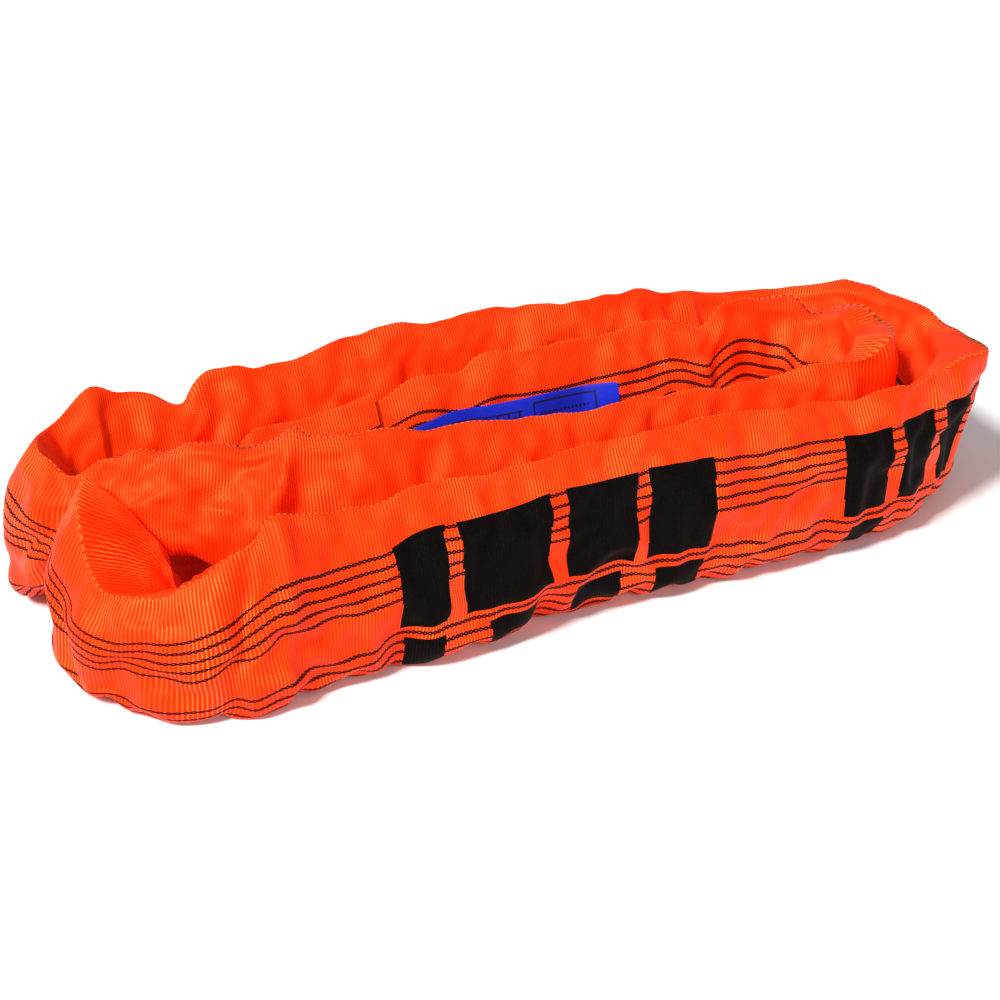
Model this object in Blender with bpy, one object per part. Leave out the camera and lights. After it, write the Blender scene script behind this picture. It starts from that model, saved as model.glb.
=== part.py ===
"""Round sling: an endless polyester lifting sling, laid down as a flat two-turn coil.

A woven tubular sleeve holds an endless core of six yarn hanks. The sleeve's two ends overlap,
are sewn with two zigzag rows, and catch the sewn leg of a blue label, whose free flap swings.
Frame: metres, +X along the coil, +Y towards its back legs, +Z up, origin under the middle.
"""
import math

import bmesh
import bpy
from mathutils import Matrix, Vector

MM = 0.001

# Sleeve
WALL = 1.3             # woven cloth, two layers of the tubular weave's selvedge fold
STRAND = 20.0          # half thickness of a strand
HEIGHT = 86.0          # a strand stands on edge, its fold on top
SQUASHED = 41.0        # height of the lower strand at the crossing
CROSS_BASE = 43.5      # underside of the upper strand at the crossing
CROSS_TOP = 90.0

# Plan of the coil: centrelines of the four legs, and the two round turns at the right end
FRONT_OUTER = -76.0
FRONT_INNER = -34.0
BACK_INNER = 35.0
BACK_OUTER = 77.0
TURN_X = 153.55

# Overlap of the sleeve's ends, on the back inner leg
LAP_START = -106.0
LAP = 40.0
LAP_STEP = 2.8         # the inner end is this much smaller all round
LAP_TOP = 82.0         # height of the strand there
LAP_EASE = 20.0        # length over which it grows to full size

# Core
HANK_RADIUS = 5.0
HANK_SPREAD = 5.4      # hanks lie in two columns, this far each side of the centreline
HANK_FLOOR = 9.6       # centre of the lowest row above the strand's underside
HANK_RISE = 9.8
TIE_LENGTH = 25.0
TIE_TAPE = 0.8
GAP = 0.3              # between touching pieces

# Label
LABEL_LENGTH = 125.0
LABEL_LEG_HALF = 19.0  # half thickness of the leg that carries the label
LABEL_CLOTH = 0.8
LEG_CLOTH = 0.6
LEG_LENGTH = 33.0

THREAD = 0.4           # half thickness of the sewing thread
STANDOFF = 0.9         # thread's centre above the cloth it lies on
ZIGZAG = 1.5           # half width of a zigzag row
SEAM_EDGE = 6.0        # each seam row's distance from its end of the overlap
SEAM_PITCH = 6.0
HEM_EDGE = 5.0
HEM_PITCH = 3.0

# Strand section from its underside to its fold: share of the half thickness, share of the height
PROFILE = [(0.55, 0.0), (0.95, 0.12), (1.0, 0.33), (0.88, 0.60), (0.50, 0.86)]
# The part of its side that the label covers
LABEL_PROFILE = [(1.0, 0.33), (0.88, 0.60), (0.588, 0.80)]

MAX_TURN = math.radians(17)
MAX_CLIMB = 9.0
MAX_STEP = 34.0

ORANGE = (1.0, 0.13, 0.01)
YARN = (0.82, 0.80, 0.74)
TAPE = (0.70, 0.62, 0.40)
BLUE = (0.01, 0.03, 0.45)
THREAD_ORANGE = (0.8, 0.20, 0.02)
THREAD_BLACK = (0.02, 0.02, 0.02)


def clear_scene():
    for obj in list(bpy.data.objects):
        bpy.data.objects.remove(obj, do_unlink=True)


def finish(name, color, roughness):
    material = bpy.data.materials.new(name)
    material.use_nodes = True
    shader = material.node_tree.nodes["Principled BSDF"]
    shader.inputs["Base Color"].default_value = (*color, 1.0)
    shader.inputs["Roughness"].default_value = roughness
    shader.inputs["Metallic"].default_value = 0.0
    return material


def arc(radius, start, stop, steps, base=0.0, top=HEIGHT, half=STRAND):
    """Route points on a turn about the right-hand turning point, angles in degrees."""
    middle = (FRONT_INNER + BACK_INNER) / 2
    points = []
    for i in range(steps + 1):
        a = math.radians(start + (stop - start) * i / steps)
        points.append((TURN_X + radius * math.cos(a), middle + radius * math.sin(a), base, top, half))
    return points


def route_points():
    """The coil once round both turns: x, y, underside, top and half thickness, in millimetres."""
    inner_radius = (BACK_INNER - FRONT_INNER) / 2
    outer_radius = (BACK_OUTER - FRONT_OUTER) / 2
    back_inner = [(x, BACK_INNER, 0, LAP_TOP, LABEL_LEG_HALF) for x in (-90, -60)]
    back_inner += [(x, BACK_INNER, 0, HEIGHT, LABEL_LEG_HALF) for x in (-20, 40, 100)]
    front_inner = [(x, FRONT_INNER, 0, HEIGHT, STRAND) for x in (100, 40, -20, -70)]
    crossing_over = [
        (-110, -31, 0, 87, STRAND),
        (-145, -22, 22, 89, STRAND),
        (-175, -9, CROSS_BASE, CROSS_TOP, 21),
        (-205, 8, CROSS_BASE, CROSS_TOP, 22),
        (-224, 28, CROSS_BASE, CROSS_TOP, 21),
    ]
    back_turn = [
        (-231, 48, 28, 88, 18),
        (-220, 68, 10, 84, 19),
        (-198, BACK_OUTER, 0, 84, STRAND),
    ]
    back_outer = [(x, BACK_OUTER, 0, 84, 19.5) for x in (-150, -90, -20, 50, 110)]
    front_outer = [(x, FRONT_OUTER, 0, HEIGHT, STRAND) for x in (110, 40, -30, -90, -140)]
    front_turn = [
        (-178, -77, 0, 74, STRAND),
        (-207, -70, 0, 62, STRAND),
        (-225, -50, 0, 62, STRAND),
        (-228, -26, 0, 52, 21),
    ]
    crossing_under = [
        (-216, -4, 0, SQUASHED, 23),
        (-190, 13, 0, SQUASHED, 23),
        (-160, 27, 0, 46, 22),
        (-128, 34.5, 0, 74, STRAND),
        (-114, BACK_INNER, 0, LAP_TOP, LABEL_LEG_HALF),
    ]
    return (
        [(LAP_START, BACK_INNER, 0, LAP_TOP, LABEL_LEG_HALF)]
        + back_inner
        + arc(inner_radius, 90, -90, 4)
        + front_inner + crossing_over + back_turn + back_outer
        + arc(outer_radius, 90, -90, 6)
        + front_outer + front_turn + crossing_under
    )


def spline_point(points, i, t):
    """Smooth closed curve in plan; the underside, top and thickness ease from point to point."""
    n = len(points)
    a, b, c, d = (points[(i + k) % n] for k in (-1, 0, 1, 2))
    plan = [
        0.5 * (2 * b[k] + (c[k] - a[k]) * t + (2 * a[k] - 5 * b[k] + 4 * c[k] - d[k]) * t ** 2
               + (3 * b[k] - a[k] - 3 * c[k] + d[k]) * t ** 3)
        for k in (0, 1)
    ]
    ease = t * t * (3 - 2 * t)
    return (*plan, *(b[k] + (c[k] - b[k]) * ease for k in (2, 3, 4)))


def dense_route(points, steps=24):
    """Samples of the closed route: travelled length and the five values of each point."""
    samples, length, last = [], 0.0, None
    for i in range(len(points)):
        for k in range(steps):
            p = spline_point(points, i, k / steps)
            if last is not None:
                length += math.hypot(p[0] - last[0], p[1] - last[1])
            samples.append((length, p))
            last = p
    first = samples[0][1]
    length += math.hypot(first[0] - last[0], first[1] - last[1])
    return samples, length


class Route:
    """The closed coil by travelled length, in millimetres."""

    def __init__(self):
        self.samples, self.length = dense_route(route_points())

    def at(self, s):
        s = s % self.length
        low, high = 0, len(self.samples)
        while high - low > 1:
            mid = (low + high) // 2
            if self.samples[mid][0] <= s:
                low = mid
            else:
                high = mid
        s0, a = self.samples[low]
        s1, b = self.samples[high] if high < len(self.samples) else (self.length, self.samples[0][1])
        t = (s - s0) / (s1 - s0)
        return [a[k] + (b[k] - a[k]) * t for k in range(5)]

    def frame(self, s):
        """Point, outward direction in plan, underside, top and half thickness."""
        x, y, base, top, half = self.at(s)
        ahead, behind = self.at(s + 1.0), self.at(s - 1.0)
        dx, dy = ahead[0] - behind[0], ahead[1] - behind[1]
        size = math.hypot(dx, dy)
        return x, y, -dy / size, dx / size, base, top, half

    def stations(self):
        """Lengths along the route, closer together in the turns and where the height changes."""
        marks, s, last, turned, climbed = [0.0], 0.0, self.frame(0.0), 0.0, 0.0
        while s < self.length - 6.0:
            s += 2.0
            now = self.frame(s)
            turned += abs(last[2] * now[3] - last[3] * now[2])
            climbed += abs(now[4] - last[4]) + abs(now[5] - last[5])
            last = now
            if turned > MAX_TURN or climbed > MAX_CLIMB or s - marks[-1] > MAX_STEP:
                marks.append(s)
                turned = climbed = 0.0
        return marks


def side_of(base, top, half, inset, profile=PROFILE):
    """One side of a strand section as (outward, up) pairs, from the underside up."""
    low, high, wide = base + inset, top - 2 * inset, half - inset
    return [(share * wide, low + rise * (high - low)) for share, rise in profile]


def section(base, top, half, inset=0.0):
    """Closed strand section as (outward, up) pairs, the fold at the top."""
    right = side_of(base, top, half, inset)
    left = [(-n, z) for n, z in reversed(right)]
    return right + [(0.0, top - 2 * inset)] + left


def place(route, s, pairs):
    x, y, nx, ny = route.frame(s)[:4]
    return [Vector((x + nx * n, y + ny * n, z)) * MM for n, z in pairs]


def new_object(name, bm, material, smooth_angle=None):
    bmesh.ops.recalc_face_normals(bm, faces=bm.faces)
    mesh = bpy.data.meshes.new(name)
    bm.to_mesh(mesh)
    bm.free()
    if smooth_angle is not None:
        mesh.shade_smooth()
        mesh.set_sharp_from_angle(angle=smooth_angle)
    obj = bpy.data.objects.new(name, mesh)
    obj.data.materials.append(material)
    bpy.context.scene.collection.objects.link(obj)
    return obj


def add_ring(bm, points):
    return [bm.verts.new(p) for p in points]


def bridge(bm, a, b):
    n = len(a)
    for i in range(n):
        bm.faces.new((a[i], a[(i + 1) % n], b[(i + 1) % n], b[i]))


def loft(rings, closed=False):
    """Solid through a list of rings of points; a closed one runs round without ends."""
    bm = bmesh.new()
    loops = [add_ring(bm, ring) for ring in rings]
    for a, b in zip(loops, loops[1:]):
        bridge(bm, a, b)
    if closed:
        bridge(bm, loops[-1], loops[0])
    else:
        bm.faces.new(list(reversed(loops[0])))
        bm.faces.new(loops[-1])
    return bm


def lap_inset(s):
    """How much smaller the sleeve's inner end is, from its edge to where it meets full size."""
    full = LAP + 2.0
    if s <= full:
        return LAP_STEP
    t = min(1.0, (s - full) / LAP_EASE)
    return LAP_STEP * (1 - t * t * (3 - 2 * t))


def build_sleeve(route, material):
    marks = [0.0, LAP + 2.0, LAP + 12.0, LAP + 2.0 + LAP_EASE]
    marks += [s for s in route.stations() if s > marks[-1] + 8.0]
    marks += [route.length, route.length + LAP]
    outside, inside = [], []
    for s in marks:
        base, top, half = route.frame(s)[4:]
        inset = lap_inset(s)
        outside.append(place(route, s, section(base, top, half, inset)))
        inside.append(place(route, s, section(base, top, half, inset + WALL)))
    rings = outside + list(reversed(inside))
    bm = loft(rings, closed=True)
    return new_object("sleeve", bm, material, math.radians(50))


def hexagon(n, z):
    corners = (math.radians(60 * k) for k in range(6))
    return [(n + HANK_RADIUS * math.cos(a), z + HANK_RADIUS * math.sin(a)) for a in corners]


def build_hanks(route, material):
    number = 0
    for row in range(3):
        for side in (-1, 1):
            number += 1
            rings = []
            for s in route.stations():
                base = route.frame(s)[4]
                z = base + HANK_FLOOR + row * HANK_RISE
                rings.append(place(route, s, hexagon(side * HANK_SPREAD, z)))
            bm = loft(rings, closed=True)
            new_object(f"core_hank_{number}", bm, material, math.radians(70))


def tie_outline(offset):
    """Rounded rectangle round the six hanks, offset outwards."""
    wide = HANK_SPREAD + HANK_RADIUS + offset
    low = HANK_FLOOR - HANK_RADIUS * math.cos(math.radians(30)) - offset
    high = HANK_FLOOR + 2 * HANK_RISE + HANK_RADIUS * math.cos(math.radians(30)) + offset
    cut = 2.2
    return [
        (-wide + cut, low), (wide - cut, low), (wide, low + cut), (wide, high - cut),
        (wide - cut, high), (-wide + cut, high), (-wide, high - cut), (-wide, low + cut),
    ]


def build_ties(material):
    legs = {"core_tie_1": FRONT_OUTER, "core_tie_2": FRONT_INNER, "core_tie_3": BACK_OUTER}
    for name, y in legs.items():
        rings = []
        for x, offset in (
            (-TIE_LENGTH / 2, GAP), (TIE_LENGTH / 2, GAP),
            (TIE_LENGTH / 2, GAP + TIE_TAPE), (-TIE_LENGTH / 2, GAP + TIE_TAPE),
        ):
            rings.append([Vector((x, y + n, z)) * MM for n, z in tie_outline(offset)])
        new_object(name, loft(rings, closed=True), material)


def thread(points):
    """A thread of square section along a polyline, with mitred bends."""
    rings = []
    for i, p in enumerate(points):
        before = points[max(i - 1, 0)]
        after = points[min(i + 1, len(points) - 1)]
        along = (after - before).normalized()
        side = along.cross(Vector((0.0, 0.0, 1.0)))
        if side.length < 0.2:
            side = along.cross(Vector((0.0, 1.0, 0.0)))
        side = side.normalized() * THREAD
        up = side.cross(along).normalized() * THREAD
        rings.append([(p + side + up) * MM, (p + side - up) * MM, (p - side - up) * MM, (p - side + up) * MM])
    return loft(rings)


def zigzag_up(x, line, pitch):
    """Zigzag points along a line of (towards the loop, up) pairs on the back inner leg."""
    points, side = [], 1
    for (n0, z0), (n1, z1) in zip(line, line[1:]):
        steps = max(1, round(math.hypot(n1 - n0, z1 - z0) / pitch))
        for k in range(steps):
            t = k / steps
            points.append(Vector((x + side * ZIGZAG, BACK_INNER - n0 - (n1 - n0) * t, z0 + (z1 - z0) * t)))
            side = -side
    return points


def build_seams(material):
    """Two zigzag rows up one side of the leg, over its fold and down the other side."""
    line = section(0.0, LAP_TOP, LABEL_LEG_HALF, -GAP - STANDOFF)[1:-1]
    for name, x in (("seam_row_1", LAP_START + SEAM_EDGE), ("seam_row_2", LAP_START + LAP - SEAM_EDGE)):
        new_object(name, thread(zigzag_up(x, line, SEAM_PITCH)), material)


def label_strip(name, x0, x1, top, inset, cloth, material):
    """A cloth strip that follows the inner face of the back inner leg, from an inset outwards."""
    back = side_of(0.0, top, LABEL_LEG_HALF, inset, LABEL_PROFILE)
    face = side_of(0.0, top, LABEL_LEG_HALF, inset - cloth, LABEL_PROFILE)
    ring = back + list(reversed(face))
    rings = [[Vector((x, BACK_INNER - n, z)) * MM for n, z in ring] for x in (x0, x1)]
    return new_object(name, loft(rings), material)


def build_label(blue, black):
    """The flap hangs in the loop; its sewn leg lies between the sleeve's two ends."""
    edge = LAP_START + LAP
    label_strip("label_sewn_leg", edge - LEG_LENGTH, edge - GAP, LAP_TOP, LAP_STEP - GAP, LEG_CLOTH, blue)
    start = edge + 2 * GAP
    flap = label_strip("label_flap", start, start + LABEL_LENGTH, HEIGHT, -GAP, LABEL_CLOTH, blue)
    hinge = Vector((edge, BACK_INNER - LABEL_LEG_HALF - GAP, 0.0)) * MM
    line = side_of(0.0, HEIGHT, LABEL_LEG_HALF, -2 * GAP - LABEL_CLOTH - STANDOFF, LABEL_PROFILE)
    hem = new_object("label_hem_stitch", thread(zigzag_up(start + HEM_EDGE, line, HEM_PITCH)), black)
    for piece in (flap, hem):
        piece.data.transform(Matrix.Translation(-hinge))
        piece.location = hinge


def main():
    clear_scene()
    route = Route()
    build_sleeve(route, finish("sleeve_weave", ORANGE, 0.75))
    build_hanks(route, finish("core_yarn", YARN, 0.85))
    build_ties(finish("tie_tape", TAPE, 0.7))
    build_seams(finish("sleeve_thread", THREAD_ORANGE, 0.7))
    build_label(finish("label_cloth", BLUE, 0.65), finish("label_thread", THREAD_BLACK, 0.7))
    print(f"endless length {route.length:.0f} mm, stations {len(route.stations())}")


main()
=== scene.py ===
"""Looks of the round sling: the woven sleeve in its coil, its label and its thread."""
import math

import bmesh
import bpy
import numpy as np
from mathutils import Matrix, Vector


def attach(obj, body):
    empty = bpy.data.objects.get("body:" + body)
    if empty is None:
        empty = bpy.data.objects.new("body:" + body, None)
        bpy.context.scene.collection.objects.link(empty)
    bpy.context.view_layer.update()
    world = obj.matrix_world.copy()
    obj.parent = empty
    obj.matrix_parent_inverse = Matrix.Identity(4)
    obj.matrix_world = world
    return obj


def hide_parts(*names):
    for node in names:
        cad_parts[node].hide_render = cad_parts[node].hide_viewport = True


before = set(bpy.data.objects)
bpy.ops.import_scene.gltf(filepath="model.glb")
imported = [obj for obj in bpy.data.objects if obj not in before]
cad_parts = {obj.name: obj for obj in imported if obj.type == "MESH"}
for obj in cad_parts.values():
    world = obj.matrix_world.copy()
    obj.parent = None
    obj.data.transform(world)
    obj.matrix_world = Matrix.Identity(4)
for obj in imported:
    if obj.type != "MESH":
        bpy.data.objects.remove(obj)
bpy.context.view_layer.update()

MM = 0.001
RING = 64                 # vertices round the sleeve
STEP = 3.6                # mm between its rings
HALF_CLOTH = 106.0        # mm of cloth from the top fold to the middle of the underside
STRIPE = 5.8              # pitch of the woven stripes
FIRST_STRIPE = 5.3        # first stripe of each group, in stripe pitches from the fold
SECOND_GROUP = 13.4
RIB = 1.45                # pitch of the cross ribs
CHAIN = 2.3               # link of a chain stripe
CHAIN_SWING, CHAIN_STRAND = 0.6, 0.46
SIM_FRAMES = 26
SIM_QUALITY = 6
SIM_SLACK = 0.08          # share by which the sleeve's cloth is larger than the shape it was laid in
SIM_BENDING = 0.6
SIM_HOLD = 1.0
MOST_MOVE = 5.0           # mm that the buckled cloth may move
MOVE_BLUR = 5             # coarse grid steps over which a move is slow, and left out
STRAND_HALF, STRAND_HEIGHT = 20.0, 87.0
LEAN_START = 0.35         # share of the height above which a fold leans
FOOT_TOP = 86.0           # height at which the foot's shift has died out in the core
POCKET_SLUMP = 1.25       # extra half thickness of the left lobe's inward face
POCKET_SPREAD, CROSSING_SPREAD = 0.72, 0.74
FLOOR_GAP = 0.15          # least height of the cloth above the floor
LABEL_LENGTH, LABEL_DROP, LABEL_LEG = 125.0, 45.0, 32.4
LABEL_TOP = 67.0          # height of the flap's upper edge
LABEL_THICK = 0.5
LABEL_WEAVE, BOX_PITCH = 0.55, 6.0
FRONT_OUTER, FRONT_INNER, BACK_INNER, BACK_OUTER = -76.0, -34.0, 35.0, 77.0
TURN_X, TURN_Y = 153.55, 0.5
LAP, LAP_STEP, LAP_EASE = 40.0, 2.8, 20.0   # overlap of the ends, inset of the inner one, its run-out
CORE_HALF, CORE_TOP = 10.6, 30.0
CORE_SHOULDER = 9.6       # height over which the core reaches its full width
HANK_RADIUS, HANK_SPREAD, HANK_FLOOR, HANK_RISE = 4.3, 4.6, 7.0, 8.9
TIE_LENGTH, TIE_CORNER = 25.0, 2.0
SQUEEZE = 10.0            # how far an outer strand's foot moves in before its inner side follows

# Painted shade in the grooves between the ribs, and the orange of the rib crests
CLOTH_GROOVE_SHADE = (0.92, 0.018, 0.0004, 1)
CLOTH_ORANGE = (1.0, 0.040, 0.0008, 1)
# Painted highlight lines along the rib crests
CLOTH_LIT = (1.0, 0.36, 0.07, 1)
# Painted shade and painted light of the crinkled fold line, alternating as teeth
EDGE_SHADE = (0.60, 0.008, 0.0003, 1)
EDGE_LIT = (1.0, 0.14, 0.02, 1)
EDGE_WIDTH = 0.45         # half width of the toothed line of painted shade and painted light along the fold
STRIPE_BLACK = (0.0022, 0.0018, 0.0018, 1)
STRIPE_FLECK = (0.014, 0.007, 0.004, 1)
LABEL_DARK = (0.0004, 0.006, 0.30, 1)
LABEL_BLUE = (0.001, 0.028, 0.78, 1)
LABEL_INK = (0.001, 0.003, 0.05, 1)

# Section of a strand from its fold to the middle of its underside: share of half thickness, of height
PROFILE = [(0, 1), (0.19, 0.935), (0.42, 0.85), (0.65, 0.735), (0.83, 0.60), (0.95, 0.45), (1.0, 0.31),
           (0.98, 0.19), (0.88, 0.095), (0.68, 0.03), (0.42, 0.003), (0.2, 0.0), (0.0, 0.0)]


def spline(a, b, c, d, t):
    """Catmull-Rom curve from b to c, between their neighbours."""
    return 0.5 * (2 * b + (c - a) * t + (2 * a - 5 * b + 4 * c - d) * t ** 2
                  + (3 * b - a - 3 * c + d) * t ** 3)


# ---------------------------------------------------------------- route of the coil

def row(x, y, top, half=20, base=0, lean=0, foot=0, roll=0):
    """One place of the route, in mm.

    Its fold leans out, its foot is moved out, and its cloth has rolled over the fold.
    """
    return (x, y, base, top, half, lean, foot, roll)


def leg(y, half, rows):
    """Rows of x, top and, where they aren't 0, lean, foot and roll."""
    return [row(x, y, top, half, 0, *rest) for x, top, *rest in rows]


def turn(radius, half, rows):
    """Rows of angle, top and, where they aren't 0, lean, foot and roll."""
    places = []
    for degrees, top, *rest in rows:
        angle = math.radians(degrees)
        x, y = TURN_X + radius * math.cos(angle), TURN_Y + radius * math.sin(angle)
        places.append(row(x, y, top, half, 0, *rest))
    return places


def route_rows():
    """Once round both turns."""
    back_inner = [
        (-106, 74, 0, 0, 4), (-89, 76, 0, 0, 8), (-70, 80, 0, 0, 12), (-42, 85, 0, 0, 12),
        (-20, 85, -1, 0, 9), (-5, 90, 0, 0, 8), (33, 88, 1, 0, 8), (71, 90, 1, 0, 8),
        (100, 91, 0, 0, 9), (118, 83, -3, 0, 9), (136, 94, 1, 0, 9),
    ]
    inner_turn = [
        (90, 92, 4, 0, 8), (60, 88, 10, 0, 6), (35, 84, 8, 0, 3), (10, 89, 14, -2), (-20, 90, 20, -6),
        (-45, 89, 18, -8), (-68, 87, 12, -8), (-90, 86, 3, -7),
    ]
    front_inner = [
        (125, 80, -3, -6), (91, 82, -1, -4), (53, 85, 0, -3), (10, 85, 1, -3), (-14, 86, 0, -3),
        (-49, 90, -2, -1, 3), (-78, 92, -4, 0, 6),
    ]
    over_crossing = [
        row(-110, -31, 92, 20, 0, -6, 0, 14), row(-128, -27, 93, 20, 8, -8, 0, 24),
        row(-145, -22, 92, 20, 22, -8, 0, 27), row(-175, -9, 92, 21, 43.5, -6, 0, 27),
        row(-205, 8, 89, 22, 40, -2, 0, 26), row(-217, 19, 78, 21, 30, 0, 2, 14),
        row(-225, 31, 74, 21, 16, 0, 2, 3), row(-231, 48, 81, 19, 3, 0, 1),
        row(-221, 68, 79, 19, 0, 0, 1, -3),
    ]
    back_outer = [
        (-198, 89, 0, 0, -9), (-182, 88, 0, 0, -10), (-166, 81, 0, 0, -10), (-151, 74, -2, 0, -10),
        (-138, 89, 2, 0, -10), (-124, 89, 1, 0, -11), (-109, 86, 0, 0, -12), (-85, 87, 0, 0, -12),
        (-64, 96, -2, 0, -10), (-12, 94, 0, 0, -8), (24, 96, 0, 0, -6), (60, 91, -2, 0, -4), (98, 92),
        (130, 86, 2),
    ]
    outer_turn = [
        (90, 80, 4), (60, 79, 6), (30, 86, 8), (5, 87, 6), (-15, 84, 12, -3, -4), (-28, 87, 18, -5, -8),
        (-38, 88, 26, -13, -8), (-50, 87, 14, -17, -9), (-68, 86, 6, -17, -10),
    ]
    front_outer = [
        (150, 84, 2, -15, -10), (118, 87, 2, -13, -10), (90, 88, 1, -12, -9), (53, 90, 0, -14, -10),
        (5, 89, 0, -14, -11), (-26, 87, 0, -15, -12), (-42, 84, -2, -8, -11), (-70, 86, 0, -1, -9),
        (-88, 88, 1, -1, -8), (-108, 81, 0, -6, -7), (-121, 81, -2, -4, -5), (-140, 83, 0, -2, -3),
        (-160, 85, 2, 2, -2),
    ]
    under_crossing = [
        row(-176, -77, 73, 20, 0, 0, 6), row(-194, -75, 62, 20, 0, 0, 1), row(-210, -67, 55, 20, 0, 2, -1),
        row(-222, -50, 53, 19, 0, 5, -1), row(-226, -34, 62, 19, 0, 4, -1), row(-227, -22, 76, 19, 0, 2),
        row(-225, -12, 86, 19), row(-218, -4, 88, 20), row(-208, 3, 50, 22), row(-190, 13, 38, 23),
        row(-160, 27, 42, 22), row(-134, 34, 70, 20), row(-118, BACK_INNER, 74, 19),
    ]
    return (leg(BACK_INNER, 19, back_inner) + turn(34.5, 20, inner_turn)
            + leg(FRONT_INNER, 20, front_inner) + over_crossing
            + leg(BACK_OUTER, 19.5, back_outer) + turn(76.5, 20, outer_turn)
            + leg(FRONT_OUTER, 20, front_outer) + under_crossing)


def route_samples(steps=20):
    """Smooth closed route: array of rows and the travelled length at each."""
    rows = np.array(route_rows(), float)
    a, b, c, d = (np.roll(rows, k, axis=0) for k in (1, 0, -1, -2))
    parts = []
    for t in np.arange(steps) / steps:
        part = spline(a, b, c, d, t)
        part[:, 2] = b[:, 2] + (c[:, 2] - b[:, 2]) * t * t * (3 - 2 * t)
        parts.append(part)
    points = np.stack(parts, axis=1).reshape(-1, rows.shape[1])
    ends = np.vstack([points, points[:1]])
    lengths = np.concatenate([[0], np.cumsum(np.hypot(*np.diff(ends[:, :2], axis=0).T))])
    return ends, lengths


ROUTE, LENGTHS = route_samples()
TOTAL = LENGTHS[-1]


def route_at(s):
    """Rows of the route at travelled lengths s, and the outward direction in plan."""
    s = np.asarray(s, float)
    rows = np.stack([np.interp(s % TOTAL, LENGTHS, ROUTE[:, k]) for k in range(ROUTE.shape[1])], axis=-1)
    ahead = np.stack([np.interp((s + 2) % TOTAL, LENGTHS, ROUTE[:, k]) for k in (0, 1)], axis=-1)
    behind = np.stack([np.interp((s - 2) % TOTAL, LENGTHS, ROUTE[:, k]) for k in (0, 1)], axis=-1)
    along = ahead - behind
    along /= np.linalg.norm(along, axis=-1, keepdims=True)
    return rows, np.stack([-along[..., 1], along[..., 0]], axis=-1)


def length_at(x, y):
    """Travelled length of the route point nearest to a place in plan."""
    return float(LENGTHS[np.argmin(np.hypot(ROUTE[:, 0] - x, ROUTE[:, 1] - y))])


def profile_tables(samples=400):
    """Share of half thickness and of height against share of cloth, from fold to underside."""
    points = np.array(PROFILE, float)
    padded = np.vstack([2 * points[0] - points[1], points, 2 * points[-1] - points[-2]])
    curve = []
    for i in range(1, len(padded) - 2):
        curve += [spline(*padded[i - 1:i + 3], t) for t in np.arange(20) / 20]
    curve.append(points[-1])
    curve = np.array(curve)
    sized = curve * (STRAND_HALF, STRAND_HEIGHT)
    gone = np.concatenate([[0], np.cumsum(np.hypot(*np.diff(sized, axis=0).T))])
    gone /= gone[-1]
    share = np.linspace(0, 1, samples)
    return share, np.interp(share, gone, curve[:, 0]), np.interp(share, gone, curve[:, 1])


SHARE, SHARE_N, SHARE_Z = profile_tables()


def sleeve_points(s, q, inset=0.0):
    """Places in mm of the cloth at lengths s and cloth distances q from the fold (outward is positive)."""
    rows, outward = route_at(s)
    share = np.abs(q) / HALF_CLOTH
    base, top, half = rows[..., 2] + inset, rows[..., 3] - 2 * inset, rows[..., 4] - inset
    rise = np.interp(share, SHARE, SHARE_Z)
    slump = 1 + POCKET_SLUMP * window(s, length_at(-186, -76), length_at(-222, -8)) * (q < 0)
    low = (1 - rise) ** 1.5
    squeezed = np.where(q < 0, np.clip(-rows[..., 6], 0, SQUEEZE), 0) * low
    n = np.sign(q) * (half - squeezed) * np.interp(share, SHARE, SHARE_N) * slump
    lean = np.clip((rise - LEAN_START) / (1 - LEAN_START), 0, 1) ** 1.6
    n = n + rows[..., 5] * lean + rows[..., 6] * low
    z = base + (top - base) * rise
    return np.stack([rows[..., 0] + outward[..., 0] * n, rows[..., 1] + outward[..., 1] * n, z], axis=-1)


def foot_shift(rows, up):
    """How far out the foot's shift takes the core at a height above the underside."""
    return rows[..., 6] * np.clip(1 - up / FOOT_TOP, 0, 1) ** 1.5


def clear_of_core(s, q, grid):
    """Keep the cloth outside the core's hanks."""
    rows, outward = route_at(s)
    up = grid[..., 2] - rows[..., 2]
    n = np.sum((grid[..., :2] - rows[..., :2]) * outward, axis=-1) - foot_shift(rows, up)
    least = CORE_HALF * np.clip(up / CORE_SHOULDER, 0, 1) ** 0.6 * (up < CORE_TOP)
    push = np.maximum(least - np.sign(q) * n, 0) * np.sign(q)
    grid[..., :2] += outward * push[..., None]
    return grid


def window(s, start, end, ease=25.0):
    """1 between two travelled lengths and 0 away from them."""
    middle, half = (start + end) / 2, (end - start) / 2
    away = np.abs((s - middle + TOTAL / 2) % TOTAL - TOTAL / 2)
    t = np.clip((half + ease - away) / ease, 0, 1)
    return t * t * (3 - 2 * t)


def cloth_coordinates(s, q):
    """Woven coordinates of the cloth at places of the shape: the cloth has rolled over the fold in places."""
    rows, _ = route_at(s)
    across = q - rows[..., 7]
    pocket = window(s, length_at(-150, -76), length_at(-150, 30)) * (q < 0)
    crossing = window(s, length_at(-150, -20), length_at(-205, 8))
    share = np.where(across < 0, 1 - POCKET_SPREAD * pocket, 1 - CROSSING_SPREAD * crossing)
    return np.stack([s, across * share], axis=-1)


# ---------------------------------------------------------------- folds

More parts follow.
